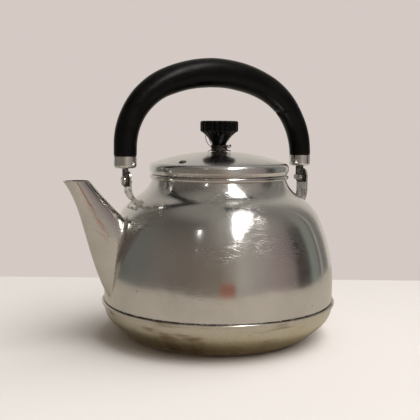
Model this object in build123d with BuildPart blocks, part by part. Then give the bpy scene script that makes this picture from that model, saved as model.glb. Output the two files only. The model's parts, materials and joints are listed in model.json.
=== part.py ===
"""Stovetop kettle with a swinging bail handle and a lift-off lid.

Origin: centre of the flat bottom. +Z is up, the spout points along -X, and the
bail swings about the X direction. All sizes are in millimetres.
"""
from build123d import *
from math import acos, cos, pi, radians, sin
import os

os.makedirs("parts", exist_ok=True)

# Body: deep-drawn upper shell, hemmed onto a shallow pan
SHEET = 0.8                 # sheet thickness of shell, lid and collar
WALL_R = 107.9              # outer radius of the upright wall
SEAM_Z = 33.2               # middle of the hemmed seam
DOME_START = 50.2           # height where the wall starts to curve in
DOME_R, DOME_ARC = 145.0, 24.5
SHOULDER_R, SHOULDER_ARC = 46.0, 36.0
NECK_FILLET_R, NECK_ARC = 26.8, 43.7
BEAD_R = 110.0              # outer radius of the seam bead, the widest part
HEM_T = 0.9                 # sheet thickness of the pan
HEM_GAP = 0.4               # crevice between the hem's lip and the wall
FLAT_R = 74.0               # radius of the flat that rests on the stove
HEEL_R, HEEL_ARC = 26.0, 42.0
BILGE_SLOPE, BILGE_R = 13.0, 21.0

# Neck collar and lid
COLLAR_R = 65.3
COLLAR_BORE_R = 61.9
COLLAR_Z0, COLLAR_Z1 = 147.0, 151.2
COLLAR_ROUND = 1.9
COLLAR_DEPTH = 4.0          # how far the collar reaches down inside the neck
BRAZE_GAP = 0.02
LID_GAP = 0.3               # lid edge above the collar
LID_EDGE_R = 63.7
LID_R = 65.5
LID_TOP = 172.5             # apex of the domed lid
LID_DOME_R = 190.0
LID_CORNER_R = 4.6
LID_SKIRT = 3.5             # height of the slope under the lid's rim
SLEEVE_R = 61.0             # locating sleeve that drops into the collar
SLEEVE_DEPTH = 12.0
VENT_R = 3.0
VENT_AT = (-48.7, -26.7)

# Knob and its fixings
KNOB_TOP = 201.0
KNOB_R = 17.9
KNOB_HEAD_Z = 191.3         # lower edge of the fluted head
KNOB_NECK_R = 6.3
KNOB_NECK_Z = 182.0         # where the cone runs out into the neck
KNOB_LEDGE = 4.0            # flat ring under the head, before the cone
KNOB_CHAMFER = 1.2
CONE_START = (-0.66, -0.75)
FLUTES, FLUTE_R = 20, 1.9
FLUTE_DEPTH = 0.9
SCREW_R = 2.0
SCREW_HEAD_R, SCREW_HEAD_H = 3.8, 2.2
SCREW_SLOT_W, SCREW_SLOT_DEPTH = 1.0, 1.1
INSERT_R = 3.6
WASHER_R, WASHER_T = 6.2, 0.8
WASHER_SAG = 0.12           # the flat washer touches the domed lid at its edge only

# Spout: (upper point, lower point, width, widest place) of each section in the XZ plane,
# measured outwards from the axis and upwards, from inside the body to past the tip
SPOUT_T = 0.9
SPOUT_TIP_Z = 148.0
SPOUT_SECTIONS = (
    ((74.0, 101.0), (92.0, 44.0), 25.6, 0.24),
    ((92.5, 110.5), (108.6, 43.5), 25.6, 0.24),
    ((98.7, 118.3), (128.3, 96.9), 23.6, 0.40),
    ((110.5, 130.7), (134.0, 117.2), 20.8, 0.48),
    ((125.3, 148.0), (141.4, 136.3), 18.6, 0.50),
    ((136.0, 160.2), (150.6, 149.9), 17.9, 0.50),
)

# Bail: one steel strip bent into a slightly uneven arch, in a moulded grip
PIVOT_Z = 147.0
STRIP_T, STRIP_W = 2.0, 11.0
SPOUT_SIDE_R, REAR_SIDE_R = 63.0, 72.0      # bend radii of the arch's two shoulders
SIDE_ARC = 66.0
FERRULE_R, FERRULE_T = 10.25, 0.6
FERRULE_CORNER_R = 2.6
SLOT_PLAY = 0.4             # slot in the ferrule round the strip
SPIGOT_Z = 161.4            # lower end of the grip inside the ferrule
SPIGOT_PLAY = 0.05
FERRULE_Z0, FERRULE_Z1 = 158.2, 168.6
GRIP_END_R, GRIP_SWELL = 10.3, 3.15
GRIP_STEPS = 20
BREAK_AT = (73.0, 212.5)    # crack across the grip: x, z
BREAK_SLOPE = 16.0
CHIP_AT = (61.5, 206.5)     # notch in the grip's inner side beside the crack
CHIP_SIZE, CHIP_W, CHIP_RISE = 3.5, 12.0, 0.9

# Lugs and pivots: the strip runs outside the spout-side lug and inside the rear one,
# which stands straighter. Each lug: side, name, outer face from the axis, height and radius
# of its bend, middle of its foot from the axis, and the gap to the strip.
LUGS = (
    (-1, "spout_side", 91.2, 141.4, 16.0, 83.6, 0.3),
    (1, "rear", 93.2, 136.0, 28.0, 89.6, 1.6),
)
LUG_T, LUG_W = 1.5, 18.0
LUG_TOP = PIVOT_Z + 9.0
LUG_CURL = 75.0
FOOT_LENGTH, FOOT_W, FOOT_DEPTH = 10.5, 20.0, 12.0
RIVET_R = 2.5
RIVET_PLAY = 0.05
PLAY = 0.2                  # end play of the strip on the rivet
RIVET_HEAD_R, RIVET_HEAD_H = 4.6, 2.4
LEG_L, LEG_W, LEG_T = 3.6, 4.6, 1.3

WIRE_R = 0.45               # binding wire round the knob's neck
WIRE_TURNS = (172.9, 174.6, 176.1, 178.2, 179.6)

BAIL_X = -(LUGS[0][2] + LUGS[0][6] + STRIP_T / 2)       # middle of the strip at the spout side
REAR_X = LUGS[1][2] - LUG_T - LUGS[1][6] - STRIP_T / 2  # and at the rear
SIDE_RUN = 1 - cos(radians(SIDE_ARC))
TOP_R = (REAR_X - BAIL_X - (SPOUT_SIDE_R + REAR_SIDE_R) * SIDE_RUN) / (2 * (1 - SIDE_RUN))
BAIL_ARCS = ((SPOUT_SIDE_R, SIDE_ARC), (TOP_R, 180 - 2 * SIDE_ARC), (REAR_SIDE_R, SIDE_ARC))
LEG_TOP = FERRULE_Z1 + (REAR_SIDE_R - SPOUT_SIDE_R) * sin(radians(SIDE_ARC))
FLANGE_LOW, FLANGE_HIGH = SEAM_Z - SHEET / 2, SEAM_Z + SHEET / 2


def body_line(inset, foot_z=SEAM_Z):
    """Meridian of the upper body, a given depth below its outer face."""
    wall = Line((WALL_R - inset, foot_z), (WALL_R - inset, DOME_START))
    dome = JernArc(wall @ 1, wall % 1, DOME_R - inset, DOME_ARC)
    shoulder = JernArc(dome @ 1, dome % 1, SHOULDER_R - inset, SHOULDER_ARC)
    return wall @ 0, JernArc(shoulder @ 1, shoulder % 1, NECK_FILLET_R + inset, -NECK_ARC) @ 1


def body_solid(inset):
    """The upper body as a full solid of revolution, a given depth below its face."""
    with BuildPart() as form:
        with BuildSketch(Plane.XZ):
            with BuildLine():
                foot, rim = body_line(inset)
                Polyline(rim, (0, rim.Y), (0, foot.Y), foot)
            make_face()
        revolve(axis=Axis.Z)
    return form.part


def finish(piece, name):
    """Label a finished sub-part and write it to its own file."""
    piece.part.label = name
    export_step(piece.part, f"parts/{name}.step")


outer_form = body_solid(0)
foot_form = body_solid(-LUG_T)


# Spout: loft through egg-shaped sections that fan out towards the root
def spout_solid(inset):
    """The spout as a solid, a given depth below its outer face."""
    with BuildPart() as form:
        for upper, lower, width, widest in SPOUT_SECTIONS:
            top = Vector(-upper[0], 0, upper[1])
            along = Vector(-lower[0], 0, lower[1]) - top
            depth = along.length
            split_at = widest * depth
            half = width / 2 - inset
            plane = Plane(top + along * widest, x_dir=along, z_dir=along.cross(Vector(0, 1, 0)))
            with BuildSketch(plane):
                with BuildLine():
                    EllipticalCenterArc((0, 0), split_at - inset, half, 90, arc_size=180)
                    EllipticalCenterArc((0, 0), depth - split_at - inset, half, -90, arc_size=180)
                make_face()
        loft()
    return form.part


spout_bore = spout_solid(SPOUT_T)

with BuildPart() as spout:
    add(spout_solid(0))
    add(outer_form, mode=Mode.SUBTRACT)
    add(spout_bore, mode=Mode.SUBTRACT)
    split(bisect_by=Plane.XY.offset(SPOUT_TIP_Z), keep=Keep.BOTTOM)
finish(spout, "spout")

# Upper body: drawn shell with a small outward flange at the seam
with BuildPart() as body_shell:
    with BuildSketch(Plane.XZ):
        with BuildLine():
            outer_foot, outer_rim = body_line(0, FLANGE_HIGH)
            inner_foot, inner_rim = body_line(SHEET, FLANGE_LOW)
            Line(outer_rim, inner_rim)
            Polyline(outer_foot, (BEAD_R - HEM_T, FLANGE_HIGH), (BEAD_R - HEM_T, FLANGE_LOW), inner_foot)
        make_face()
    revolve(axis=Axis.Z)
    add(spout_bore, mode=Mode.SUBTRACT)
finish(body_shell, "body_shell")

# Pan: flat bottom, rolled corner and a rim hemmed over the shell's flange
with BuildPart() as base_pan:
    with BuildSketch(Plane.XZ):
        with BuildLine():
            rims = []
            for inset in (0, HEM_T):
                floor = Line((0, inset), (FLAT_R, inset))
                heel = JernArc(floor @ 1, floor % 1, HEEL_R - inset, HEEL_ARC)
                slope = Line(heel @ 1, heel @ 1 + (heel % 1) * BILGE_SLOPE)
                bilge = JernArc(slope @ 1, slope % 1, BILGE_R - inset, 90 - HEEL_ARC)
                rims.append(bilge @ 1)
            Line((0, 0), (0, HEM_T))
            hem_r = BEAD_R - HEM_T
            Polyline(rims[0], (rims[0].X, FLANGE_LOW - HEM_T), (BEAD_R, FLANGE_LOW - HEM_T),
                     (BEAD_R, FLANGE_HIGH + HEM_T), (WALL_R + HEM_GAP, FLANGE_HIGH + HEM_T),
                     (WALL_R + HEM_GAP, FLANGE_HIGH), (hem_r, FLANGE_HIGH), (hem_r, FLANGE_LOW),
                     (rims[1].X, FLANGE_LOW), rims[1])
        make_face()
    revolve(axis=Axis.Z)
    rim_edges = base_pan.edges().filter_by(GeomType.CIRCLE).filter_by(
        lambda e: abs(e.radius - BEAD_R) < 0.01)
    fillet(rim_edges, HEM_T * 0.8)
finish(base_pan, "base_pan")

# Collar: rolled ring brazed into the neck, with a smooth bore for the lid's sleeve
with BuildPart() as neck_collar:
    with BuildSketch(Plane.XZ):
        with BuildLine():
            neck_r = inner_rim.X - BRAZE_GAP
            foot_z = COLLAR_Z0 - COLLAR_DEPTH
            Polyline((COLLAR_BORE_R, foot_z), (neck_r, foot_z), (neck_r, COLLAR_Z0),
                     (COLLAR_R, COLLAR_Z0), (COLLAR_R, COLLAR_Z1), (COLLAR_BORE_R, COLLAR_Z1),
                     close=True)
        make_face()
    revolve(axis=Axis.Z)
    bead_edges = neck_collar.edges().filter_by(GeomType.CIRCLE).filter_by(
        lambda e: abs(e.radius - COLLAR_R) < 0.01)
    fillet(bead_edges, COLLAR_ROUND)
finish(neck_collar, "neck_collar")

# Lid: domed cover with a rolled-down rim and a steam vent
LID_Z0 = COLLAR_Z1 + LID_GAP


def lid_line(inset):
    """Meridian of the lid from its lower edge to its apex, a depth below its face."""
    dome_centre = LID_TOP - LID_DOME_R
    sphere_r, corner_r = LID_DOME_R - inset, LID_CORNER_R - inset
    corner_x = LID_R - LID_CORNER_R
    corner_z = dome_centre + ((LID_DOME_R - LID_CORNER_R) ** 2 - corner_x ** 2) ** 0.5
    touch = Vector(corner_x, corner_z - dome_centre).normalized()
    meet = (touch.X * sphere_r, dome_centre + touch.Y * sphere_r)
    side = Polyline((LID_EDGE_R - inset, LID_Z0), (LID_R - inset, LID_Z0 + LID_SKIRT),
                    (LID_R - inset, corner_z))
    mid = Vector(1, 1).normalized() * corner_r
    bend = ThreePointArc(side @ 1, (corner_x + mid.X, corner_z + mid.Y), meet)
    RadiusArc(bend @ 1, (0, LID_TOP - inset), -sphere_r)
    return side @ 0


with BuildPart() as lid_shell:
    with BuildSketch(Plane.XZ):
        with BuildLine():
            Line(lid_line(0), lid_line(SHEET))
            Line((0, LID_TOP), (0, LID_TOP - SHEET))
        make_face()
    revolve(axis=Axis.Z)
    with Locations((VENT_AT[0], VENT_AT[1], LID_TOP)):
        Hole(VENT_R, depth=30)
    with Locations((0, 0, LID_TOP)):
        Hole(SCREW_R, depth=10)
finish(lid_shell, "lid_shell")

with BuildPart() as lid_sleeve:
    with BuildSketch(Plane.XZ):
        with BuildLine():
            flange_r = LID_EDGE_R - SHEET
            Polyline((SLEEVE_R - SHEET, LID_Z0 - SLEEVE_DEPTH), (SLEEVE_R, LID_Z0 - SLEEVE_DEPTH),
                     (SLEEVE_R, LID_Z0), (flange_r, LID_Z0), (flange_r, LID_Z0 + SHEET),
                     (SLEEVE_R - SHEET, LID_Z0 + SHEET), close=True)
        make_face()
    revolve(axis=Axis.Z)
finish(lid_sleeve, "lid_sleeve")

# Knob: fluted bakelite head on a cone, with a threaded insert for the screw
INSERT_TOP = KNOB_HEAD_Z + 3
SCREW_TOP = INSERT_TOP - 4
with BuildPart() as lid_knob:
    with BuildSketch(Plane.XZ):
        with BuildLine():
            head = Polyline((0, KNOB_TOP), (KNOB_R - KNOB_CHAMFER, KNOB_TOP),
                            (KNOB_R, KNOB_TOP - KNOB_CHAMFER), (KNOB_R, KNOB_HEAD_Z),
                            (KNOB_R - KNOB_LEDGE, KNOB_HEAD_Z - 1))
            flare = TangentArc(head @ 1, (KNOB_NECK_R, KNOB_NECK_Z), tangent=CONE_START)
            Polyline(flare @ 1, (KNOB_NECK_R, LID_TOP), (0, LID_TOP), (0, KNOB_TOP))
        make_face()
    revolve(axis=Axis.Z)
    with BuildSketch(Plane.XY.offset(KNOB_HEAD_Z - 0.6)):
        with PolarLocations(KNOB_R + FLUTE_R - FLUTE_DEPTH, FLUTES):
            Circle(FLUTE_R)
    extrude(amount=KNOB_TOP - KNOB_HEAD_Z + 1, mode=Mode.SUBTRACT)
    with Locations(Plane.XY.offset(LID_TOP)):
        Cylinder(INSERT_R, INSERT_TOP - LID_TOP, align=(Align.CENTER, Align.CENTER, Align.MIN),
                 mode=Mode.SUBTRACT)
finish(lid_knob, "lid_knob")

with BuildPart() as knob_insert:
    with BuildSketch(Plane.XY.offset(LID_TOP)):
        Circle(INSERT_R)
        Circle(SCREW_R, mode=Mode.SUBTRACT)
    extrude(amount=INSERT_TOP - LID_TOP)
finish(knob_insert, "knob_insert")

WASHER_Z = LID_TOP - SHEET - WASHER_SAG - WASHER_T
with BuildPart() as knob_washer:
    with BuildSketch(Plane.XY.offset(WASHER_Z)):
        Circle(WASHER_R)
        Circle(SCREW_R, mode=Mode.SUBTRACT)
    extrude(amount=WASHER_T)
finish(knob_washer, "knob_washer")

with BuildPart() as knob_screw:
    head_plane = Plane.XY.offset(WASHER_Z - SCREW_HEAD_H)
    with BuildSketch(head_plane):
        Circle(SCREW_HEAD_R)
    extrude(amount=SCREW_HEAD_H)
    fillet(knob_screw.edges().group_by(Axis.Z)[0], SCREW_HEAD_H * 0.55)
    with BuildSketch(Plane.XY.offset(WASHER_Z)):
        Circle(SCREW_R)
    extrude(amount=SCREW_TOP - WASHER_Z)
    with Locations(head_plane):
        Box(SCREW_HEAD_R * 3, SCREW_SLOT_W, SCREW_SLOT_DEPTH,
            align=(Align.CENTER, Align.CENTER, Align.MIN), mode=Mode.SUBTRACT)
finish(knob_screw, "knob_screw")

# Binding wire: separate turns tied round the knob's neck
with BuildPart() as binding_wire:
    for turn_z in WIRE_TURNS:
        with Locations(Plane.XY.offset(turn_z)):
            Torus(KNOB_NECK_R + WIRE_R + 0.05, WIRE_R)
finish(binding_wire, "binding_wire")


# Bail: strip, ferrules and grip
def bail_arch(inset):
    """Arch of the bail, moved inwards by inset, and its ends above the ferrules."""
    leg = end = Line((BAIL_X + inset, FERRULE_Z1), (BAIL_X + inset, LEG_TOP))
    for radius, arc in BAIL_ARCS:
        end = JernArc(end @ 1, end % 1, radius - inset, -arc)
    return leg @ 0, end @ 1


with BuildPart() as handle_core:
    with BuildSketch(Plane.XZ):
        with BuildLine():
            for outer_end, inner_end in zip(bail_arch(-STRIP_T / 2), bail_arch(STRIP_T / 2)):
                Polyline(outer_end, (outer_end.X, PIVOT_Z), (inner_end.X, PIVOT_Z), inner_end)
        make_face()
    extrude(amount=STRIP_W / 2, both=True)
    for pivot_x in (BAIL_X, REAR_X):
        with BuildSketch(Plane.YZ.offset(pivot_x)):
            with Locations((0, PIVOT_Z)):
                Circle(STRIP_W / 2)
        extrude(amount=STRIP_T / 2, both=True)
        with BuildSketch(Plane.YZ.offset(pivot_x)):
            with Locations((0, PIVOT_Z)):
                Circle(RIVET_R + RIVET_PLAY)
        extrude(amount=STRIP_T, both=True, mode=Mode.SUBTRACT)
finish(handle_core, "handle_core")

for name, ferrule_x in (("ferrule_spout_side", BAIL_X), ("ferrule_rear", REAR_X)):
    with BuildPart() as ferrule:
        with BuildSketch(Plane((ferrule_x, 0, 0), x_dir=(1, 0, 0), z_dir=(0, -1, 0))):
            with BuildLine():
                rims = []
                for inset in (0, FERRULE_T):
                    wall_r, floor_z = FERRULE_R - inset, FERRULE_Z0 + inset
                    cup = FilletPolyline((0, floor_z), (wall_r, floor_z), (wall_r, FERRULE_Z1),
                                         radius=FERRULE_CORNER_R - inset)
                    rims.append(cup @ 1)
                Line(*rims)
                Line((0, FERRULE_Z0), (0, FERRULE_Z0 + FERRULE_T))
            make_face()
        revolve(axis=Axis((ferrule_x, 0, 0), (0, 0, 1)))
        with Locations((ferrule_x, 0, FERRULE_Z0)):
            Box(STRIP_T + SLOT_PLAY, STRIP_W + SLOT_PLAY, FERRULE_T * 4, mode=Mode.SUBTRACT)
    finish(ferrule, name)

with BuildPart() as whole_grip:
    with BuildLine() as grip_line:
        bail_arch(0)
    for step in range(GRIP_STEPS + 1):
        t = step / GRIP_STEPS
        place = grip_line.wire() @ t
        heading = grip_line.wire() % t
        with BuildSketch(Plane((place.X, 0, place.Y), x_dir=(0, 1, 0), z_dir=(heading.X, 0, heading.Y))):
            Circle(GRIP_END_R + GRIP_SWELL * sin(pi * t) ** 2)
    loft()
    for pivot_x in (BAIL_X, REAR_X):
        with BuildSketch(Plane.XY.offset(SPIGOT_Z)):
            with Locations((pivot_x, 0)):
                Circle(FERRULE_R - FERRULE_T - SPIGOT_PLAY)
        extrude(amount=FERRULE_Z1 - SPIGOT_Z)
    add(handle_core.part, mode=Mode.SUBTRACT)
    chip_plane = Plane((CHIP_AT[0], 0, CHIP_AT[1]), x_dir=(1, 0, CHIP_RISE), z_dir=(-CHIP_RISE, 0, 1))
    with Locations(chip_plane):
        Box(CHIP_SIZE, CHIP_W, CHIP_SIZE, mode=Mode.SUBTRACT)

BROKEN_END_BOX = (60, 40, 80)
across_break = (cos(radians(BREAK_SLOPE)), 0, sin(radians(BREAK_SLOPE)))
break_plane = Plane((BREAK_AT[0], 0, BREAK_AT[1]), x_dir=across_break,
                    z_dir=(-across_break[2], 0, across_break[0]))
for name, mode in (("grip_main", Mode.SUBTRACT), ("grip_broken_end", Mode.INTERSECT)):
    with BuildPart() as grip:
        add(whole_grip.part)
        with Locations(break_plane):
            Box(*BROKEN_END_BOX, align=(Align.CENTER, Align.CENTER, Align.MAX), mode=mode)
    finish(grip, name)

# Lugs with their feet on the shoulder, and the rivets that carry the bail
def lug_foot(side, radius):
    """Foot plate of a lug, shaped to the shoulder it is welded to at this radius."""
    start = radians(DOME_ARC)
    centre_r = WALL_R - DOME_R + (DOME_R - SHOULDER_R) * cos(start)
    centre_z = DOME_START + (DOME_R - SHOULDER_R) * sin(start)
    lean = acos((radius - centre_r) / SHOULDER_R)
    outward, up = cos(lean), sin(lean)
    place = (side * radius, 0, centre_z + SHOULDER_R * up)
    with BuildPart() as foot:
        add(foot_form)
        with Locations(Plane(place, x_dir=(side * up, 0, -outward), z_dir=(side * outward, 0, up))):
            Box(FOOT_LENGTH, FOOT_W, FOOT_DEPTH, mode=Mode.INTERSECT)
    return foot.part


for side, end_name, lug_r, bend_z, bend_r, foot_r, gap in LUGS:
    meridian = Plane((0, 0, 0), x_dir=(side, 0, 0), z_dir=(0, -side, 0))
    across = Plane((side * lug_r, 0, PIVOT_Z), x_dir=(0, side, 0), z_dir=(side, 0, 0))
    foot_block = lug_foot(side, foot_r)
    with BuildPart() as lug:
        with BuildSketch(meridian):
            with BuildLine():
                toes = []
                for inset in (0, LUG_T):
                    riser = Line((lug_r - inset, LUG_TOP), (lug_r - inset, bend_z))
                    curl = JernArc(riser @ 1, riser % 1, bend_r - inset, -LUG_CURL)
                    toes.append(curl @ 1)
                Line((lug_r, LUG_TOP), (lug_r - LUG_T, LUG_TOP))
                Line(*toes)
            make_face()
        extrude(amount=LUG_W / 2, both=True)
        fillet(lug.edges().filter_by(Axis.X).group_by(Axis.Z)[-1], LUG_W / 2 - 0.5)
        add(foot_block)
        add(outer_form, mode=Mode.SUBTRACT)
        with BuildSketch(across):
            Circle(RIVET_R)
        extrude(amount=LUG_T * 2, both=True, mode=Mode.SUBTRACT)
    finish(lug, f"lug_{end_name}")

    # Split rivet: domed head outside, two legs opened out on the inner side
    strip_space = gap + STRIP_T + PLAY
    strip_inside = side > 0
    legs_at = -LUG_T - (strip_space if strip_inside else 0)
    head_at = 0 if strip_inside else strip_space
    with BuildPart() as rivet:
        with BuildSketch(across.offset(legs_at - LEG_T)):
            Circle(RIVET_R)
        extrude(amount=head_at - legs_at + LEG_T)
        with BuildSketch(across.offset(head_at)):
            Circle(RIVET_HEAD_R)
        extrude(amount=RIVET_HEAD_H)
        fillet(rivet.edges().group_by(Axis.X)[-1 if side > 0 else 0], RIVET_HEAD_H * 0.85)
        with BuildSketch(across.offset(legs_at - LEG_T)):
            with GridLocations(RIVET_R * 2 + LEG_L - 1, 0, 2, 1):
                SlotOverall(LEG_L + 2, LEG_W)
        extrude(amount=LEG_T)
    finish(rivet, f"pivot_rivet_{end_name}")
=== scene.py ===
"""Looks of the stovetop kettle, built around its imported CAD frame.

Everything is in metres in the frame's own axes: +Z up, the spout along -X, the bail
swinging about X. The camera and the studio have axes of their own, turned about Z:
there X is to the right in the view, and -Y is towards the camera.
"""
import bmesh
import bpy
import json
import random
from math import cos, pi, radians, sin
from mathutils import Matrix, Vector, noise
from mathutils.bvhtree import BVHTree


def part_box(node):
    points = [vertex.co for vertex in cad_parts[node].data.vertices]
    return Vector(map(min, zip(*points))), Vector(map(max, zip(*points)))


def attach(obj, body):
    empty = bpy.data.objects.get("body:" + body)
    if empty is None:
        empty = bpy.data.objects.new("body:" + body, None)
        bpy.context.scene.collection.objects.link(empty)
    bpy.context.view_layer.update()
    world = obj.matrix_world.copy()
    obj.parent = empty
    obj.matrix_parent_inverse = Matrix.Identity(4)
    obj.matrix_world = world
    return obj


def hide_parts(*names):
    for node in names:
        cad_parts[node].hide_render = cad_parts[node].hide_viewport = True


MM = 0.001
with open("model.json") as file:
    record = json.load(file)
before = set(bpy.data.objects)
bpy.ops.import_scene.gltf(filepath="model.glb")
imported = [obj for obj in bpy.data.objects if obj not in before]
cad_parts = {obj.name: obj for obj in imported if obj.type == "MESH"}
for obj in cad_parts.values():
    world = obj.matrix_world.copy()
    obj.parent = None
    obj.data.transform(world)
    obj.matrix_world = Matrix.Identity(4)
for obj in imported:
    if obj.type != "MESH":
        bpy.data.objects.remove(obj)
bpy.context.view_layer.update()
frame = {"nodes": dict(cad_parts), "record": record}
nodes = frame["nodes"]

# ---------------------------------------------------------------- view and studio
VIEW_ANGLE = radians(26.0)
VIEW_TURN = Matrix.Rotation(-VIEW_ANGLE, 4, "Z")         # from the studio's axes to the frame's
CAMERA_AT = Vector((0.0, -0.6835, 0.1915))
PITCH, YAW, ROLL = radians(6.216), radians(-0.681), radians(0.430)
LENS, SENSOR = 62.14, 36.0


def place_camera():
    """The camera, in front of the kettle and looking a little down on it."""
    forward = Vector((sin(YAW) * cos(PITCH), cos(YAW) * cos(PITCH), -sin(PITCH)))
    right = Vector((cos(YAW), -sin(YAW), 0.0))
    up = right.cross(forward)
    turned_right = right * cos(ROLL) + up * sin(ROLL)
    turned_up = up * cos(ROLL) - right * sin(ROLL)
    axes = Matrix((turned_right, turned_up, -forward)).transposed().to_4x4()
    data = bpy.data.cameras.new("camera")
    data.lens, data.sensor_width = LENS, SENSOR
    camera = bpy.data.objects.new("camera", data)
    camera.matrix_world = VIEW_TURN @ Matrix.Translation(CAMERA_AT) @ axes
    bpy.context.scene.collection.objects.link(camera)
    bpy.context.scene.camera = camera


# ---------------------------------------------------------------- shader helpers
def node(tree, kind, inputs=None, **settings):
    """A shader node with its settings; each input is given a value or a socket to link."""
    made = tree.nodes.new("ShaderNode" + kind)
    for name, value in settings.items():
        setattr(made, name, value)
    for name, value in (inputs or {}).items():
        if isinstance(value, bpy.types.NodeSocket):
            tree.links.new(value, made.inputs[name])
        else:
            made.inputs[name].default_value = value
    return made


def maths(tree, operation, *values, clamp=False):
    """The result of a sum or function of values and sockets."""
    made = node(tree, "Math", dict(enumerate(values)), operation=operation, use_clamp=clamp)
    return made.outputs[0]


def ramp(tree, factor, stops):
    """Colour ramp from (place, colour) stops."""
    made = node(tree, "ValToRGB", {"Fac": factor})
    band = made.color_ramp
    while len(band.elements) < len(stops):
        band.elements.new(0.5)
    for element, (place, colour) in zip(band.elements, stops):
        element.position = place
        element.color = (*colour, 1.0)
    return made.outputs["Color"]


def mixed(tree, factor, a, b):
    """Colour b over colour a."""
    made = tree.nodes.new("ShaderNodeMix")
    made.data_type = "RGBA"
    for index, value in ((0, factor), (6, a), (7, b)):
        if isinstance(value, bpy.types.NodeSocket):
            tree.links.new(value, made.inputs[index])
        else:
            made.inputs[index].default_value = (*value, 1.0) if index else value
    return made.outputs[2]


def between(tree, value, low, high):
    """0 at low, 1 at high, smooth between them, in either order."""
    made = node(tree, "MapRange", {"Value": value, "From Min": low, "From Max": high},
                interpolation_type="SMOOTHSTEP")
    return made.outputs["Result"]


def joined(tree, x, y, z):
    """A vector from three values or sockets."""
    return node(tree, "CombineXYZ", {"X": x, "Y": y, "Z": z}).outputs[0]


def noise_value(tree, vector, scale, detail=4.0):
    """Cloudy noise round 0.5, with this many features in each unit of the vector."""
    made = node(tree, "TexNoise", {"Vector": vector, "Scale": scale, "Detail": detail,
                                   "Roughness": 0.55})
    return made.outputs["Fac"]


def new_material(name):
    """An empty material and its node tree."""
    material = bpy.data.materials.new(name)
    material.use_nodes = True
    material.node_tree.nodes.clear()
    return material, material.node_tree


# ---------------------------------------------------------------- studio
def room_direction(tree):
    """Azimuth of a direction, 0..1 with 0.5 at the camera, and its height, -1..1."""
    place = node(tree, "TexCoord").outputs["Generated"]
    turned = node(tree, "Mapping", {"Vector": place, "Rotation": (0, 0, VIEW_ANGLE)})
    split = node(tree, "SeparateXYZ", {"Vector": turned.outputs[0]})
    x, y, z = split.outputs
    azimuth = maths(tree, "ARCTAN2", x, maths(tree, "MULTIPLY", y, -1.0))
    return maths(tree, "MULTIPLY_ADD", azimuth, 0.5 / pi, 0.5), z


def ring(stops):
    """Ramp stops from colours at azimuths in degrees, 0 at the camera and 90 to the right."""
    return [((azimuth + 180.0) / 360.0, colour) for azimuth, colour in stops]


PALE_WALL = (0.68, 0.63, 0.57)
PALE_ABOVE = (0.50, 0.48, 0.44)
# Surroundings at the kettle's own height: a pale wall behind it, a dim room in front of it,
# and upright dark and bright stripes at the right
LOW_RING = ring((
    (-180, PALE_WALL), (-150, PALE_WALL), (-128, (0.62, 0.59, 0.54)), (-120, (0.15, 0.15, 0.14)),
    (-95, (0.17, 0.175, 0.16)), (-60, (0.20, 0.18, 0.16)), (-25, (0.20, 0.165, 0.14)),
    (2, (0.26, 0.22, 0.18)), (22, (0.48, 0.45, 0.40)), (44, (0.40, 0.36, 0.33)),
    (62, (0.35, 0.28, 0.27)), (80, (0.27, 0.22, 0.21)), (87, (0.07, 0.06, 0.055)),
    (101, (0.085, 0.075, 0.07)), (107, (0.27, 0.30, 0.265)), (118, (0.26, 0.27, 0.24)),
    (122, (0.07, 0.07, 0.06)), (125, (0.62, 0.60, 0.56)), (128, (0.2, 0.19, 0.18)),
    (139, (0.26, 0.24, 0.22)), (148, PALE_WALL), (180, PALE_WALL)))
# The same surroundings higher up
HIGH_RING = ring((
    (-180, PALE_ABOVE), (-140, (0.42, 0.40, 0.37)), (-115, (0.15, 0.14, 0.12)),
    (-60, (0.14, 0.125, 0.11)), (-25, (0.17, 0.15, 0.135)), (5, (0.36, 0.34, 0.31)),
    (60, (0.42, 0.39, 0.36)), (100, (0.25, 0.23, 0.21)), (130, (0.3, 0.28, 0.26)),
    (150, PALE_ABOVE), (180, PALE_ABOVE)))
CEILING = (0.32, 0.30, 0.27)
BACKGROUND = (0.66, 0.585, 0.55)
LOW_TO_HIGH, HIGH_TO_CEILING = (0.25, 0.72), (0.75, 1.0)     # heights of a direction

FLOOR_REACH, FLOOR_BACK, FLOOR_Z = 4.0, 0.25, -0.0004        # its back edge is the horizon
TABLE_X, TABLE_Y, TABLE_Z = (-0.58, 0.56), (-0.535, 0.4), -0.0001
WARM_X, WARM_Z, WARM_Y = (0.03, 0.19), (-0.10, 0.085), -0.70
OVERHEAD_AT, OVERHEAD_SPIN = (0.46, -0.78, 1.15), 11.0
GLOW_FADE = (0.42, 0.30)         # share of the overhead glow that fades, across and along
FILL_SPREAD = radians(70.0)


def build_room():
    """Surroundings that the metal reflects: a dim room in front, a pale wall behind."""
    world = bpy.data.worlds.new("room")
    world.use_nodes = True
    tree = world.node_tree
    tree.nodes.clear()
    azimuth, height = room_direction(tree)
    low = ramp(tree, azimuth, LOW_RING)
    high = ramp(tree, azimuth, HIGH_RING)
    walls = mixed(tree, between(tree, height, *LOW_TO_HIGH), low, high)
    room = mixed(tree, between(tree, height, *HIGH_TO_CEILING), walls, CEILING)
    lit = node(tree, "Background", {"Color": room, "Strength": 1.0})
    seen = node(tree, "Background", {"Color": (*BACKGROUND, 1.0), "Strength": 1.0})
    rays = node(tree, "LightPath")
    both = node(tree, "MixShader", {0: rays.outputs["Is Camera Ray"], 1: lit.outputs[0],
                                    2: seen.outputs[0]})
    node(tree, "OutputWorld", {"Surface": both.outputs[0]})
    bpy.context.scene.world = world


def plain_material(name, colour, glows=False):
    """Flat paint, or paint that glows in its own colour."""
    material, tree = new_material(name)
    shader = node(tree, "Emission" if glows else "BsdfDiffuse", {"Color": (*colour, 1.0)})
    node(tree, "OutputMaterial", {"Surface": shader.outputs[0]})
    return material


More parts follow.
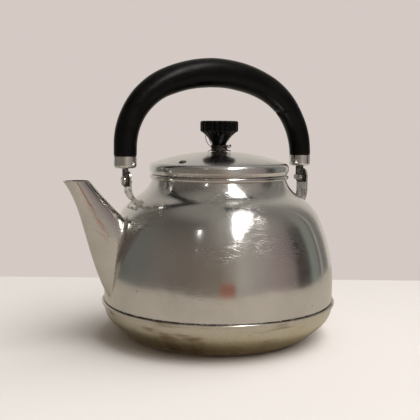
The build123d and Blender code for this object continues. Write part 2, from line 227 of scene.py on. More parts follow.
def card(name, corners, material, seen_by, place=VIEW_TURN):
    """A flat four-sided stage piece, given by corners in the studio's axes."""
    mesh = bpy.data.meshes.new(name)
    mesh.from_pydata(corners, [], [(0, 1, 2, 3)])
    mesh.materials.append(material)
    made = bpy.data.objects.new(name, mesh)
    made.matrix_world = place
    bpy.context.scene.collection.objects.link(made)
    for kind in ("camera", "diffuse", "glossy", "shadow"):
        setattr(made, "visible_" + kind, kind in seen_by)


def flat_corners(x0, x1, y0, y1, z):
    """Corners of a level rectangle."""
    return ((x0, y0, z), (x1, y0, z), (x1, y1, z), (x0, y1, z))


def place_light(data, at, aim, spin=0.0):
    """A light at a point of the studio, aimed at another and turned about its own beam."""
    made = bpy.data.objects.new(data.name, data)
    direction = Vector(aim) - Vector(at)
    made.matrix_world = (VIEW_TURN @ Matrix.Translation(at)
                         @ direction.to_track_quat("-Z", "Y").to_matrix().to_4x4()
                         @ Matrix.Rotation(radians(spin), 4, "Z"))
    bpy.context.scene.collection.objects.link(made)
    return made


def area_light(name, at, aim, size, power, spin=0.0):
    """A soft rectangular light placed in the studio's axes."""
    data = bpy.data.lights.new(name, "AREA")
    data.shape, data.energy = "RECTANGLE", power
    data.size, data.size_y = size
    return place_light(data, at, aim, spin)


def fill_light(power):
    """Even light from a wide part of the sky, which the metal doesn't reflect."""
    data = bpy.data.lights.new("fill", "SUN")
    data.energy, data.angle = power, FILL_SPREAD
    place_light(data, (1.1, 0.1, 1.6), (0.0, 0.0, 0.0)).visible_glossy = False


def soft_glow(name, at, size, spin, strength):
    """A level glowing sheet that fades out to its edges, seen in the metal only."""
    material, tree = new_material(name)
    place = node(tree, "TexCoord").outputs["Generated"]
    x, y, _ = node(tree, "SeparateXYZ", {"Vector": place}).outputs
    fades = []
    for value, fade in zip((x, y), GLOW_FADE):
        from_middle = maths(tree, "ABSOLUTE", maths(tree, "SUBTRACT", value, 0.5))
        fades.append(between(tree, maths(tree, "SUBTRACT", 0.5, from_middle), 0.0, fade))
    shape = maths(tree, "MULTIPLY", *fades)
    power = maths(tree, "MULTIPLY", maths(tree, "MULTIPLY", shape, shape), strength)
    shader = node(tree, "Emission", {"Color": (1.0, 0.985, 0.96, 1.0), "Strength": power})
    node(tree, "OutputMaterial", {"Surface": shader.outputs[0]})
    half_x, half_y = size[0] / 2, size[1] / 2
    place = VIEW_TURN @ Matrix.Translation(at) @ Matrix.Rotation(radians(spin), 4, "Z")
    card(name, flat_corners(-half_x, half_x, -half_y, half_y, 0.0), material, ("glossy",), place)


def build_studio():
    """Pale floor for the camera, a table for the metal to reflect, and the lights."""
    floor_paint = plain_material("pale_floor", (0.74, 0.70, 0.67))
    floor_corners = flat_corners(-FLOOR_REACH, FLOOR_REACH, -FLOOR_REACH, FLOOR_BACK, FLOOR_Z)
    card("floor", floor_corners, floor_paint, ("camera", "diffuse"))
    table_paint = plain_material("table_paint", (0.50, 0.455, 0.39))
    card("table", flat_corners(*TABLE_X, *TABLE_Y, TABLE_Z), table_paint, ("glossy",))
    warm_paint = plain_material("warm_card", (0.36, 0.12, 0.07), glows=True)
    (left, right), (low, high) = WARM_X, WARM_Z
    card("warm_card", ((left, WARM_Y, low), (right, WARM_Y, low), (right, WARM_Y, high),
                       (left, WARM_Y, high)), warm_paint, ("glossy",))
    below = (*OVERHEAD_AT[:2], 0.0)
    overhead = area_light("overhead", OVERHEAD_AT, below, (0.26, 1.6), 9.0, OVERHEAD_SPIN)
    overhead.visible_glossy = False
    soft_glow("overhead_glow", OVERHEAD_AT, (0.46, 1.9), OVERHEAD_SPIN, 15.0)
    area_light("lamp", (-0.42, -1.05, 0.95), (0, 0, 0.1), (0.03, 0.03), 0.12)
    fill_light(2.1)


place_camera()
bpy.context.scene.view_settings.view_transform = "Standard"
build_room()
build_studio()

# ---------------------------------------------------------------- materials
# Lengths in the materials' patterns are in millimetres, and depths of relief in metres
PATTERN_R = 100.0                # radius at which the flat pattern has its true scale
SCRATCH_BEND = 14.0
SCRATCHED_FROM = (60.0, 95.0)    # heights between which scratches become common
SCRATCH_SETS = (                 # slant in degrees, length, width, seed, share covered
    (52.0, 8.5, 0.65, 2.6, 0.32), (-38.0, 9.0, 0.60, 6.7, 0.32),
    (12.0, 11.0, 0.55, 10.4, 0.30), (76.0, 8.0, 0.60, 14.2, 0.30))
PIT_SPACING, PIT_SIZE, PIT_DEPTH = 7.0, 0.85, 0.08 * MM
PIT_COLOUR = (0.03, 0.02, 0.015)
SEAM_Z, SEAM_DIRT = 34.6, 1.3
GRIME = (0.05, 0.035, 0.025)
HEAT_TOP, HEAT_SWAY, SOOT_BETWEEN = 50.0, 16.0, (16.0, 6.0)
# Heat tints up the pan; the darkest brown stops near its bottom also stand in as painted shade of the
# dark gap under the pan
HEAT_TINT_AND_SHADE_STOPS = (                   # share of HEAT_TOP, colour
    (0.12, (0.10, 0.068, 0.042)), (0.22, (0.31, 0.215, 0.12)), (0.34, (0.42, 0.33, 0.17)),
    (0.46, (0.52, 0.455, 0.28)), (0.62, (0.58, 0.54, 0.43)), (0.85, (0.57, 0.54, 0.49)))
SCORCH = (0.20, 0.115, 0.05)
SOOT = (0.025, 0.02, 0.016)
BLACK, FADED_BLACK, SCUFF = (0.0012, 0.001, 0.001), (0.003, 0.0027, 0.0025), (0.02, 0.019, 0.018)


def millimetres(tree):
    """The frame's own coordinates in millimetres, as a vector and its parts."""
    place = node(tree, "TexCoord").outputs["Object"]
    scaled = node(tree, "Mapping", {"Vector": place, "Scale": (1000.0, 1000.0, 1000.0)})
    split = node(tree, "SeparateXYZ", {"Vector": scaled.outputs[0]})
    return scaled.outputs[0], split.outputs


def around_axis(tree, x, y, z):
    """Millimetres round the axis and along a turned profile, which a flat pattern follows."""
    squares = maths(tree, "ADD", maths(tree, "MULTIPLY", x, x), maths(tree, "MULTIPLY", y, y))
    radius = maths(tree, "SQRT", squares)
    round_way = maths(tree, "MULTIPLY", maths(tree, "ARCTAN2", y, x), PATTERN_R)
    return round_way, maths(tree, "SUBTRACT", z, radius)


def stretched_noise(tree, u, v, u_scale, v_scale, seed, detail):
    """Noise on the flat pattern, finer one way than the other."""
    place = joined(tree, maths(tree, "MULTIPLY", u, u_scale), maths(tree, "MULTIPLY", v, v_scale),
                   seed)
    return noise_value(tree, place, 1.0, detail)


def streaks(tree, u, v, slant, length, width, seed, share):
    """Scratches of this length and width in millimetres, 0..1, covering a share of the area."""
    turned = node(tree, "Mapping", {"Vector": joined(tree, u, v, seed),
                                    "Rotation": (0, 0, radians(slant)),
                                    "Scale": (1.0 / length, 1.0 / width, 1.0)})
    value = noise_value(tree, turned.outputs[0], 1.0, detail=1.5)
    return between(tree, value, 0.72 - 0.3 * share, 0.80 - 0.3 * share)


def scratched(tree, place, u, v, z):
    """Bent scratches in all directions, in patches, and most of them high up."""
    bend = maths(tree, "MULTIPLY", stretched_noise(tree, u, v, 0.05, 0.05, 3.0, 1.0), SCRATCH_BEND)
    bent_v = maths(tree, "ADD", v, bend)
    mask = 0.0
    for scratch_set in SCRATCH_SETS:
        mask = maths(tree, "MAXIMUM", mask, streaks(tree, u, bent_v, *scratch_set))
    patches = between(tree, noise_value(tree, place, 0.018, detail=2.0), 0.38, 0.58)
    high_up = maths(tree, "MAXIMUM", between(tree, z, *SCRATCHED_FROM), 0.3)
    return maths(tree, "MULTIPLY", mask, maths(tree, "MULTIPLY", patches, high_up))


def pits_mask(tree, place, share):
    """Small round specks, on a share of evenly scattered places."""
    cells = node(tree, "TexVoronoi", {"Vector": place, "Scale": 1.0 / PIT_SPACING}, feature="F1")
    chance = node(tree, "SeparateColor", {"Color": cells.outputs["Color"]}).outputs[0]
    near = between(tree, cells.outputs["Distance"], PIT_SIZE / PIT_SPACING,
                   0.5 * PIT_SIZE / PIT_SPACING)
    return maths(tree, "MULTIPLY", near, between(tree, chance, 1.0 - share, 1.01 - share))


def bumped(tree, height, depth, below=None):
    """Normal of a surface raised by depth metres where height is 1."""
    inputs = {"Height": height, "Distance": depth, "Strength": 1.0}
    if below is not None:
        inputs["Normal"] = below
    return node(tree, "Bump", inputs).outputs[0]


def finished(tree, colour, metallic, roughness, normal, anisotropy=0.0, specular=0.5):
    """The surface itself; an anisotropic one is brushed round the Z axis."""
    inputs = {"Base Color": colour, "Metallic": metallic, "Roughness": roughness, "Normal": normal,
              "Specular IOR Level": specular}
    if anisotropy:
        inputs["Anisotropic"], inputs["Anisotropic Rotation"] = anisotropy, 0.25
        inputs["Tangent"] = node(tree, "Tangent", direction_type="RADIAL", axis="Z").outputs[0]
    shader = node(tree, "BsdfPrincipled", inputs)
    node(tree, "OutputMaterial", {"Surface": shader.outputs[0]})


def heat_stained_and_shaded(tree, paint, roughness, place, flat, z):
    """Straw and brown heat tints that darken towards the bottom, where the darkest are also painted
    shade of the gap under the pan, with scorched bands.
    """
    cloud = noise_value(tree, place, 0.045)
    level = maths(tree, "ADD", z, maths(tree, "MULTIPLY", cloud, HEAT_SWAY))
    tint_and_shade = ramp(tree, maths(tree, "DIVIDE", level, HEAT_TOP), HEAT_TINT_AND_SHADE_STOPS)
    paint = mixed(tree, 0.85, paint, tint_and_shade)
    bands = stretched_noise(tree, *flat, 0.022, 0.16, 7.0, 5.0)
    scorch = maths(tree, "MULTIPLY", between(tree, bands, 0.50, 0.68), 0.75)
    paint = mixed(tree, scorch, paint, SCORCH)
    roughness = maths(tree, "MULTIPLY_ADD", scorch, 0.15, roughness)
    return paint, maths(tree, "ADD", roughness, between(tree, level, *SOOT_BETWEEN))


def soiled_seam(tree, paint, roughness, place, z):
    """Dirt caught in the seam between the pan and the shell."""
    distance = maths(tree, "ABSOLUTE", maths(tree, "SUBTRACT", z, SEAM_Z))
    broken = between(tree, noise_value(tree, place, 0.35, detail=3.0), 0.25, 0.6)
    dirt = maths(tree, "MULTIPLY", between(tree, distance, SEAM_DIRT, 0.2), broken)
    return mixed(tree, dirt, paint, GRIME), maths(tree, "MULTIPLY_ADD", dirt, 0.4, roughness)


def turned_steel(name, colour, rough, line_depth, scratch_depth, pit_share, has_seam=False,
                 heated_and_shaded=False, anisotropy=0.0):
    """Steel polished on a lathe, then scratched and spotted by years of use."""
    material, tree = new_material(name)
    place, (x, y, z) = millimetres(tree)
    u, v = around_axis(tree, x, y, z)
    smudge = noise_value(tree, place, 0.028, detail=5.0)
    haze = between(tree, noise_value(tree, place, 3.1, detail=3.0), 0.42, 0.60)
    lathe_lines = stretched_noise(tree, u, v, 0.006, 2.6, 0.0, 3.0)
    scratches = scratched(tree, place, u, v, z)
    pits = pits_mask(tree, place, pit_share)
    paint = mixed(tree, between(tree, smudge, 0.35, 0.75), colour, tuple(c * 0.86 for c in colour))
    roughness = maths(tree, "MULTIPLY_ADD", smudge, 0.10, rough - 0.05)
    roughness = maths(tree, "MULTIPLY_ADD", haze, 0.10, roughness)
    roughness = maths(tree, "MULTIPLY_ADD", scratches, 0.10, roughness)
    # Heat tints, darkest at the bottom, where they are partly painted shade
    if heated_and_shaded:
        paint, roughness = heat_stained_and_shaded(tree, paint, roughness, place, (u, v), z)
    if has_seam:
        paint, roughness = soiled_seam(tree, paint, roughness, place, z)
    paint = mixed(tree, pits, paint, PIT_COLOUR)
    metallic = maths(tree, "MULTIPLY_ADD", pits, -0.8, 1.0)
    roughness = maths(tree, "MULTIPLY_ADD", pits, 0.5, roughness, clamp=True)
    normal = bumped(tree, lathe_lines, line_depth)
    normal = bumped(tree, scratches, -scratch_depth, normal)
    normal = bumped(tree, pits, -PIT_DEPTH, normal)
    finished(tree, paint, metallic, roughness, normal, anisotropy)
    return material


def small_part_metal(name, colour, rough, soot, depth=0.01 * MM):
    """Bright or tarnished metal of a small formed part, with dents and patches of soot."""
    material, tree = new_material(name)
    place, _ = millimetres(tree)
    grain = noise_value(tree, place, 1.6, detail=5.0)
    cloud = noise_value(tree, place, 0.22)
    dirt = maths(tree, "MULTIPLY", between(tree, cloud, 0.62 - 0.25 * soot, 0.70 - 0.25 * soot), soot)
    paint = mixed(tree, dirt, colour, SOOT)
    roughness = maths(tree, "MULTIPLY_ADD", grain, 0.16, rough - 0.08)
    roughness = maths(tree, "MULTIPLY_ADD", dirt, 0.45, roughness, clamp=True)
    normal = bumped(tree, grain, depth)
    normal = bumped(tree, cloud, depth * 12, normal)
    finished(tree, paint, maths(tree, "MULTIPLY_ADD", dirt, -0.7, 1.0), roughness, normal)
    return material


def bakelite(name):
    """Black moulded plastic: deep gloss that has dulled, with faint scuffs."""
    material, tree = new_material(name)
    place, _ = millimetres(tree)
    cloud = noise_value(tree, place, 0.06)
    grain = noise_value(tree, place, 1.2, detail=5.0)
    streaked = node(tree, "Mapping", {"Vector": place, "Scale": (0.25, 1.6, 1.6),
                                      "Rotation": (0.3, 0.5, 0.9)})
    scuffs = between(tree, noise_value(tree, streaked.outputs[0], 1.0, detail=2.0), 0.66, 0.74)
    paint = mixed(tree, between(tree, cloud, 0.4, 0.7), BLACK, FADED_BLACK)
    paint = mixed(tree, scuffs, paint, SCUFF)
    roughness = maths(tree, "MULTIPLY_ADD", cloud, 0.40, 0.12)
    roughness = maths(tree, "MULTIPLY_ADD", scuffs, 0.2, roughness, clamp=True)
    normal = bumped(tree, grain, 0.012 * MM)
    normal = bumped(tree, cloud, 0.2 * MM, normal)
    normal = bumped(tree, scuffs, -0.01 * MM, normal)
    finished(tree, paint, 0.0, roughness, normal, specular=0.14)
    return material


materials = {
    "worn_steel": turned_steel("worn_steel", (0.62, 0.60, 0.575), 0.10, 0.003 * MM, 0.020 * MM,
                               pit_share=0.065, has_seam=True, anisotropy=0.35),
    # The pan's steel: heat stained, and darkened at its bottom as painted shade
    "stained_steel": turned_steel("stained_steel", (0.64, 0.60, 0.52), 0.22, 0.004 * MM, 0.005 * MM,
                                  pit_share=0.10, heated_and_shaded=True, anisotropy=0.2),
    "satin_steel": turned_steel("satin_steel", (0.68, 0.67, 0.65), 0.13, 0.002 * MM, 0.003 * MM,
                                pit_share=0.01),
    "lug_steel": small_part_metal("lug_steel", (0.66, 0.64, 0.61), 0.15, soot=0.55),
    "dark_steel": small_part_metal("dark_steel", (0.16, 0.15, 0.14), 0.35, soot=0.8),
    "dark_wire": small_part_metal("dark_wire", (0.08, 0.07, 0.065), 0.3, soot=0.4),
    "ferrule_chrome": small_part_metal("ferrule_chrome", (0.72, 0.71, 0.69), 0.12, soot=0.35,
                                       depth=0.006 * MM),
    "insert_brass": small_part_metal("insert_brass", (0.72, 0.54, 0.26), 0.25, soot=0.3),
    "black_bakelite": bakelite("black_bakelite"),
}


def paint_frame():
    """Give every CAD node the material of its slot in the record."""
    for part in frame["record"]["subparts"]:
        mesh = nodes[part["node"]].data
        mesh.materials.clear()
        mesh.materials.append(materials[part["material_slot"]])


paint_frame()

# ---------------------------------------------------------------- mesh helpers
def add_object(name, data, slot, body):
    """A new shown piece of the kettle, in one of its materials, that rides on a body."""
    data.materials.append(materials[slot])
    made = bpy.data.objects.new(name, data)
    bpy.context.scene.collection.objects.link(made)
    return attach(made, body)


def mesh_from(name, points, faces):
    """A smooth-shaded mesh."""
    mesh = bpy.data.meshes.new(name)
    mesh.from_pydata(points, [], faces)
    mesh.validate()
    mesh.shade_smooth()
    return mesh


def grid_faces(rows, columns, closed=False):
    """Quads of a grid whose columns join round; a closed grid's last row meets its first."""
    faces = []
    for row in range(rows if closed else rows - 1):
        here, following = row * columns, (row + 1) % rows * columns
        for column in range(columns):
            after = (column + 1) % columns
            faces.append((here + column, here + after, following + after, following + column))
    return faces


def ease(value, low, high):
    """0 at low, 1 at high, smooth between them, in either order."""
    t = min(1.0, max(0.0, (value - low) / (high - low)))
    return t * t * (3.0 - 2.0 * t)


def centre(node_name):
    """Middle of a CAD node's box."""
    low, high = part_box(node_name)
    return (low + high) / 2


# ---------------------------------------------------------------- knob
LOBES, LOBE_STEPS = 20, 14
LOBE_DEPTH = 1.25 * MM
VALLEY_POWER = 0.8               # under 1, the valleys between the lobes are sharp
KNOB_BASE, KNOB_TOP = (corner.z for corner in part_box("lid_knob"))
KNOB_DISH = 0.55 * MM            # drop of the middle of the top
PROFILE_STEPS = 3                # rings for each stop of the profile
KNOB_PROFILE = (                 # radius and drop from the top in millimetres, share of the lobes
    (6.0, 0.5, 0), (11.5, 0.45, 0), (13.2, 0.3, 0), (14.2, 0.05, 0.1),
    (15.4, 0.0, 0.35), (16.5, 0.12, 0.7), (17.3, 0.5, 0.95), (17.75, 1.1, 1), (17.9, 2.0, 1),
    (17.9, 4.0, 1), (17.9, 6.2, 1), (17.9, 8.2, 1), (17.75, 9.2, 1), (17.2, 9.9, 1),
    (16.2, 10.5, 0.9), (14.9, 11.4, 0.62), (13.3, 12.8, 0.3), (11.6, 14.5, 0.1),
    (9.9, 16.4, 0), (8.5, 18.2, 0), (7.3, 20.0, 0), (6.5, 21.8, 0), (6.3, 23.4, 0),
    (6.3, 25.4, 0), (6.6, 27.2, 0), (7.2, 28.3, 0))


def knob_ring(radius, drop, share):
    """One ring of the knob: rounded lobes with sharp valleys between them."""
    around = LOBES * LOBE_STEPS
    z = max(KNOB_TOP - drop * MM, KNOB_BASE)
    points = []
    for step in range(around):
        angle = 2 * pi * step / around
        valley = 1.0 - abs(cos(angle * LOBES / 2)) ** VALLEY_POWER
        r = radius * MM - LOBE_DEPTH * share * valley
        points.append((r * cos(angle), r * sin(angle), z))
    return points


def smooth_profile(stops, steps):
    """Points of a Catmull-Rom curve through the stops."""
    points = []
    for index in range(len(stops) - 1):
        before, start, end, after = (stops[min(max(index + k, 0), len(stops) - 1)]
                                     for k in (-1, 0, 1, 2))
        for step in range(steps):
            t = step / steps
            points.append(tuple(
                0.5 * (2 * b + (c - a) * t + (2 * a - 5 * b + 4 * c - d) * t * t
                       + (3 * b - a - 3 * c + d) * t ** 3)
                for a, b, c, d in zip(before, start, end, after)))
    return points + [tuple(stops[-1])]


def build_knob():
    """Fluted knob, closed by a fan of faces at its top and bottom."""
    rings = [knob_ring(*stop) for stop in smooth_profile(KNOB_PROFILE, PROFILE_STEPS)]
    columns = len(rings[0])
    points = [point for ring_points in rings for point in ring_points]
    faces = grid_faces(len(rings), columns)
    top, bottom = len(points), len(points) + 1
    points += [(0, 0, KNOB_TOP - KNOB_DISH), (0, 0, KNOB_BASE)]
    last = (len(rings) - 1) * columns
    for column in range(columns):
        after = (column + 1) % columns
        faces.append((top, after, column))
        faces.append((bottom, last + column, last + after))
    knob = add_object("knob", mesh_from("knob", points, faces), "black_bakelite", "lid")
    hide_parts("lid_knob")


# ---------------------------------------------------------------- binding wire
WIRE_R, THIN_WIRE_R = 0.5, 0.3   # all in millimetres, as are the routes
NECK_R = 6.3
TURNS, TURN_STEPS, TURN_START = 7, 12, 0.6
TURNS_LOW, TURNS_HIGH = 173.6, 178.2
SWAY_TURNS = 2.35                # turns that it takes to go up the neck and down again
LOOSE_WIRES = {                  # routes: right in the view, towards the viewer, up
    "wire_loop": (0.28, (
        (-5.0, 5.5, 175.4), (-7.9, 2.6, 177.2), (-10.2, 1.4, 179.0), (-12.0, 0.6, 182.2),
        (-12.9, 0.4, 185.6), (-12.6, 0.9, 188.0), (-10.6, 2.6, 187.0), (-8.6, 4.4, 182.4),
        (-6.6, 4.8, 178.2), (-3.6, 6.9, 175.8))),
    "wire_upper_end": (WIRE_R, (
        (-2.6, 7.6, 174.4), (1.6, 8.0, 177.2), (5.6, 6.8, 178.6), (8.2, 5.6, 177.0),
        (9.6, 5.4, 178.8), (11.2, 6.2, 178.4), (10.3, 7.6, 176.6), (8.0, 8.2, 176.2))),
    "wire_lower_end": (WIRE_R, (
        (-0.8, 7.9, 177.6), (2.6, 8.3, 174.9), (6.4, 8.0, 174.0), (9.2, 8.2, 173.4),
        (10.6, 9.0, 173.3))),
    "wire_left_end": (THIN_WIRE_R, (
        (1.6, 7.8, 178.2), (-2.9, 7.9, 175.6), (-6.6, 7.6, 174.4), (-9.0, 8.6, 173.3),
        (-10.2, 9.9, 172.8))),
}


def wire_piece(name, points, radius):
    """A bent wire near the points, which are millimetres in the studio's axes."""
    data = bpy.data.curves.new(name, "CURVE")
    data.dimensions = "3D"
    data.bevel_depth, data.bevel_resolution, data.resolution_u = radius * MM, 3, 6
    data.use_fill_caps = True
    line = data.splines.new("NURBS")
    line.points.add(len(points) - 1)
    for place, point in zip(line.points, points):
        place.co = (*(VIEW_TURN @ (Vector(point) * MM)), 1.0)
    line.order_u, line.use_endpoint_u = 3, True
    return add_object(name, data, "dark_wire", "lid")


def wound_turns(chance):
    """Untidy turns of wire up and down the knob's neck."""
    last = TURNS * TURN_STEPS
    points = []
    for step in range(last + 1):
        angle = 2 * pi * step / TURN_STEPS + TURN_START
        sway = 0.5 - 0.5 * cos(2 * pi * step / (TURN_STEPS * SWAY_TURNS))
        z = TURNS_LOW + (TURNS_HIGH - TURNS_LOW) * sway + chance.uniform(-0.35, 0.35)
        r = NECK_R + 0.75 + chance.uniform(0.0, 0.5) + 0.7 * (step / last)
        points.append((r * cos(angle), r * sin(angle), z))
    return points


def build_wire():
    """The wound wire, its loop on the left and its three loose ends."""
    turns = wire_piece("wire_turns", wound_turns(random.Random(7)), WIRE_R)
    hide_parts("binding_wire")
    for name, (radius, route) in LOOSE_WIRES.items():
        wire_piece(name, [(right, -toward, up) for right, toward, up in route], radius)


# ---------------------------------------------------------------- grip
SPOUT_ARC_R, REAR_ARC_R, SIDE_ARC = 63.0 * MM, 72.0 * MM, radians(66.0)
GRIP_END_R, GRIP_SWELL = 10.3 * MM, 3.15 * MM
RIDGE_AT, RIDGE_HEIGHT, RIDGE_HALF_W = radians(128.0), 0.22 * MM, 0.55 * MM
END_ROUNDING = 0.5 * MM
CRACK_AT, CRACK_SLOPE = Vector((73.0, 0.0, 212.5)) * MM, radians(16.0)
CRACK_NORMAL = Vector((-sin(CRACK_SLOPE), 0.0, cos(CRACK_SLOPE)))
CRACK_GAP, CRACK_LIP = 0.10 * MM, 0.28 * MM      # each side's share of the gap, worn edge
BROKEN_END_X = 0.045                             # the broken end lies beyond this
NOTCH_AT, NOTCH_DEPTH = Vector((62.4, -3.5, 208.6)) * MM, 1.9 * MM
NOTCH_STRETCH = 0.42                             # under 1, the notch is longer across the grip
ALONG_STEPS, ROUND_STEPS = 420, 96


def arch_stretches():
    """The bail's centre line as stretches of (length, start point, heading, radius)."""
    spout_x, rear_x = centre("ferrule_spout_side").x, centre("ferrule_rear").x
    top_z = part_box("ferrule_spout_side")[1].z
    side_run = 1 - cos(SIDE_ARC)
    span = rear_x - spout_x - (SPOUT_ARC_R + REAR_ARC_R) * side_run
    crown_r = span / (2 * (1 - side_run))
    leg = (REAR_ARC_R - SPOUT_ARC_R) * sin(SIDE_ARC)
    stretches = [(leg, Vector((spout_x, 0, top_z)), pi / 2, None)]
    at, heading = Vector((spout_x, 0, top_z + leg)), pi / 2
    for radius, arc in ((SPOUT_ARC_R, SIDE_ARC), (crown_r, pi - 2 * SIDE_ARC), (REAR_ARC_R, SIDE_ARC)):
        stretches.append((radius * arc, at.copy(), heading, radius))
        hub = at + Vector((sin(heading), 0, -cos(heading))) * radius
        heading -= arc
        at = hub - Vector((sin(heading), 0, -cos(heading))) * radius
    return stretches


STRETCHES = arch_stretches()
ARCH_LENGTH = sum(stretch[0] for stretch in STRETCHES)


def arch_place(distance):
    """Point on the bail's centre line and its heading, at a distance from the spout-side end."""
    for length, at, heading, radius in STRETCHES:
        if distance <= length + 0.001 * MM:
            break
        distance -= length
    if radius is None:
        return at + Vector((0, 0, distance)), heading
    hub = at + Vector((sin(heading), 0, -cos(heading))) * radius
    turned = heading - distance / radius
    return hub - Vector((sin(turned), 0, -cos(turned))) * radius, turned


def grip_radius(t, angle):
    """Radius of the grip, with the mould's parting ridge; angle 0 is the outer side."""
    radius = GRIP_END_R + GRIP_SWELL * sin(pi * t) ** 2
    ridge = 0.0
    for side in (1, -1):
        off = (angle - side * RIDGE_AT) * radius
        ridge += RIDGE_HEIGHT * max(0.0, 1.0 - (off / RIDGE_HALF_W) ** 2)
    end = END_ROUNDING * (ease(t, 0.006, 0.0) + ease(t, 0.994, 1.0))
    return radius + ridge * ease(t, 0.02, 0.05) * ease(t, 0.98, 0.95) - end


def worn(point, out):
    """A grip point after dents, the notch beside the crack and the wear of the crack's edge."""
    dent = noise.noise(point * 45.0) * 0.25 * MM + noise.noise(point * 160.0) * 0.06 * MM
    point = point + out * dent
    off = point - NOTCH_AT
    off.y *= NOTCH_STRETCH
    depth = NOTCH_DEPTH * ease(off.length, 4.2 * MM, 1.6 * MM)
    rough = 0.5 * MM * noise.noise(point * 420.0) * ease(off.length, 5.0 * MM, 2.0 * MM)
    point = point - out * (depth + rough)
    height = (point - CRACK_AT).dot(CRACK_NORMAL)
    lip = CRACK_LIP * ease(abs(height), 0.9 * MM, 0.0)
    return point - out * lip


def grip_points():
    """Points of the whole grip's surface, ring after ring from the spout-side end."""
    points = []
    for step in range(ALONG_STEPS + 1):
        t = step / ALONG_STEPS
        at, heading = arch_place(t * ARCH_LENGTH)
        outward = Vector((-sin(heading), 0, cos(heading)))
        for turn in range(ROUND_STEPS):
            angle = 2 * pi * turn / ROUND_STEPS
            signed = angle if angle <= pi else angle - 2 * pi
            out = outward * cos(angle) + Vector((0, -1, 0)) * sin(angle)
            points.append(worn(at + out * grip_radius(t, signed), out))
    return points


def ragged(point):
    """How far the crack wanders from its flat plane at a point."""
    wander = noise.noise(Vector((point.x * 160, point.y * 110, 0.3))) * 1.5 * MM
    return wander + noise.noise(Vector((point.x * 600, point.y * 600, 4.0))) * 0.35 * MM


def crack_share(point):
    """1 at the crack, 0 away from it and on the spout side."""
    height = abs((point - CRACK_AT).dot(CRACK_NORMAL))
    return ease(height, 8 * MM, 2 * MM) if point.x > 0.0 else 0.0


def cut_grip(work, side):
    """Keep the long piece (side 1) or the broken rear end (side -1) and close the cut."""
    plane_at = CRACK_AT + CRACK_NORMAL * CRACK_GAP * side
    geometry = work.verts[:] + work.edges[:] + work.faces[:]
    bmesh.ops.bisect_plane(work, geom=geometry, plane_co=plane_at, plane_no=CRACK_NORMAL)
    unwanted = []
    for face in work.faces:
        middle = face.calc_center_median()
        is_end = middle.x > BROKEN_END_X and (middle - plane_at).dot(CRACK_NORMAL) < 0
        if is_end == (side > 0):
            unwanted.append(face)
    bmesh.ops.delete(work, geom=unwanted, context="FACES")
    rim = [edge for edge in work.edges if edge.is_boundary]
    filled = bmesh.ops.contextual_create(work, geom=rim)
    bmesh.ops.triangulate(work, faces=filled["faces"])


def build_grip():
    """Both pieces of the grip, cut from the same surface along the ragged crack."""
    points = grip_points()
    rows = ALONG_STEPS + 1
    faces = grid_faces(rows, ROUND_STEPS)
    faces.append(tuple(reversed(range(ROUND_STEPS))))
    faces.append(tuple(range((rows - 1) * ROUND_STEPS, rows * ROUND_STEPS)))
    for name, replaced, side in (("grip_long_piece", "grip_main", 1),
                                 ("grip_broken_piece", "grip_broken_end", -1)):
        work = bmesh.new()
        made = [work.verts.new(point) for point in points]
        for face in faces:
            work.faces.new([made[index] for index in face])
        bmesh.ops.recalc_face_normals(work, faces=work.faces)
        for vert in work.verts:
            vert.co += CRACK_NORMAL * ragged(vert.co) * crack_share(vert.co)
        cut_grip(work, side)
        for vert in work.verts:
            vert.co -= CRACK_NORMAL * ragged(vert.co) * crack_share(vert.co)
        mesh = bpy.data.meshes.new(name)
        work.to_mesh(mesh)
        work.free()
        mesh.shade_smooth()
        piece = add_object(name, mesh, "black_bakelite", "bail")
        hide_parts(replaced)


# ---------------------------------------------------------------- brazed spout root
ROOT_CENTRE_Z = 76.0 * MM
ROOT_STEPS, BRAZE_STEPS = 144, 9                 # sections round the root, points across each
ROOT_REACH, ROOT_SEARCH, ROOT_CONTACT = 60.0 * MM, 0.1 * MM, 0.04 * MM
BRAZE_LEAST, BRAZE_CROTCH = 2.6 * MM, 4.6 * MM   # width all round, and what the top adds
BRAZE_PROUD, BRAZE_SUNK = 0.03 * MM, 0.25 * MM   # off the metal in front, into it behind
BRAZE_EDGE = radians(50.0)                       # sharper edges than this stay sharp
SHELL_MARGIN = 2.0 * MM


def surface_tree(node_name):
    """Search tree of a CAD node's surface."""
    mesh = nodes[node_name].data
    return BVHTree.FromPolygons([v.co for v in mesh.vertices],
                                [tuple(p.vertices) for p in mesh.polygons])


shell_tree, spout_tree = surface_tree("body_shell"), surface_tree("spout")
SHELL_LOW, SHELL_HIGH = (corner.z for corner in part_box("body_shell"))


def shell_radius(z):
    """Outer radius of the body at a height, read at its side."""
    z = min(max(z, SHELL_LOW + SHELL_MARGIN), SHELL_HIGH - SHELL_MARGIN)
    return shell_tree.ray_cast(Vector((0, 0.2, z)), Vector((0, -1, 0)))[0].y


def shell_point(around, z):
    """Point of the body's outer face, a distance round it from the spout's plane."""
    radius = shell_radius(z)
    angle = around / radius
    return Vector((-radius * cos(angle), radius * sin(angle), z))


def root_line():
    """Where the spout's outer face meets the body, with the way out along the body."""
    found = []
    for step in range(ROOT_STEPS):
        turn = 2 * pi * step / ROOT_STEPS
        across, up = sin(turn), cos(turn)
        reach = ROOT_REACH
        while reach > 0:
            point = shell_point(across * reach, ROOT_CENTRE_Z + up * reach)
            if spout_tree.find_nearest(point)[3] < ROOT_CONTACT:
                break
            reach -= ROOT_SEARCH
        found.append((reach, across, up))
    return found


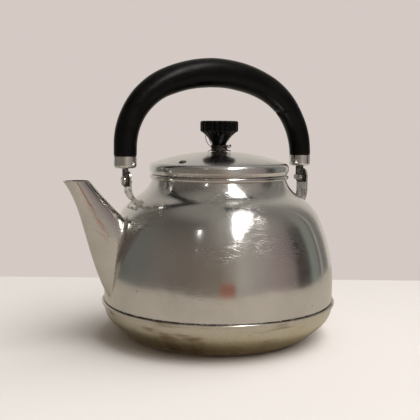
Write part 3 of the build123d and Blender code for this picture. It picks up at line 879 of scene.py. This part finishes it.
def braze_section(reach, across, up):
    """Concave section from the body to the spout, closed behind by the corner itself."""
    size = BRAZE_LEAST + BRAZE_CROTCH * max(0.0, up) ** 3
    size *= 1.0 + 0.25 * noise.noise(Vector((across * 3.0, up * 3.0, 0.0)))
    corner = shell_point(across * reach, ROOT_CENTRE_Z + up * reach)
    low = shell_point(across * (reach + size), ROOT_CENTRE_Z + up * (reach + size))
    outward = Vector((corner.x, corner.y, 0.0)).normalized()
    high = spout_tree.find_nearest(corner + outward * size)[0]
    lift = (low - corner).normalized() + (high - corner).normalized()
    section = []
    for step in range(BRAZE_STEPS):
        t = step / (BRAZE_STEPS - 1)
        point = low * (1 - t) ** 2 + corner * 2 * t * (1 - t) + high * t * t
        section.append(point + lift * BRAZE_PROUD)
    return section + [corner - lift * BRAZE_SUNK]


def build_braze():
    """Fillet of brazing metal all round the spout's root."""
    line = root_line()
    points = [point for stop in line for point in braze_section(*stop)]
    faces = grid_faces(len(line), BRAZE_STEPS + 1, closed=True)
    mesh = mesh_from("spout_braze", points, faces)
    mesh.set_sharp_from_angle(angle=BRAZE_EDGE)
    work = bmesh.new()
    work.from_mesh(mesh)
    bmesh.ops.recalc_face_normals(work, faces=work.faces)
    work.to_mesh(mesh)
    work.free()
    add_object("spout_braze", mesh, "worn_steel", "kettle")


# ---------------------------------------------------------------- steam vent
VENT_AT, VENT_R = Vector((-48.7, -26.7, 0.0)) * MM, 3.0 * MM
BURR_STEPS, BURR_ROUND = 40, 8
BURR_OFFSET, BURR_HALF_W, BURR_SUNK = 0.1 * MM, 0.32 * MM, 0.12 * MM
LID_MARGIN = 0.6 * MM            # how far out from the hole the lid's height is read
ABOVE_LID = Vector((0.0, 0.0, 0.2))


def build_vent_burr():
    """Ragged lip punched up round the vent."""
    lid_tree = surface_tree("lid_shell")
    points = []
    for step in range(BURR_STEPS):
        turn = 2 * pi * step / BURR_STEPS
        out = Vector((cos(turn), sin(turn), 0.0))
        above = VENT_AT + out * (VENT_R + LID_MARGIN) + ABOVE_LID
        ground = lid_tree.ray_cast(above, Vector((0, 0, -1)))[0].z
        half_height = 0.5 * (0.55 + 0.5 * noise.noise(out * 1.7)) * MM
        for corner in range(BURR_ROUND):
            angle = 2 * pi * corner / BURR_ROUND
            at = VENT_AT + out * (VENT_R + BURR_OFFSET + BURR_HALF_W * cos(angle))
            points.append((at.x, at.y, ground + half_height * (1 + sin(angle)) - BURR_SUNK))
    faces = grid_faces(BURR_STEPS, BURR_ROUND, closed=True)
    add_object("vent_burr", mesh_from("vent_burr", points, faces), "dark_steel", "lid")


build_knob()
build_wire()
build_grip()
build_braze()
build_vent_burr()
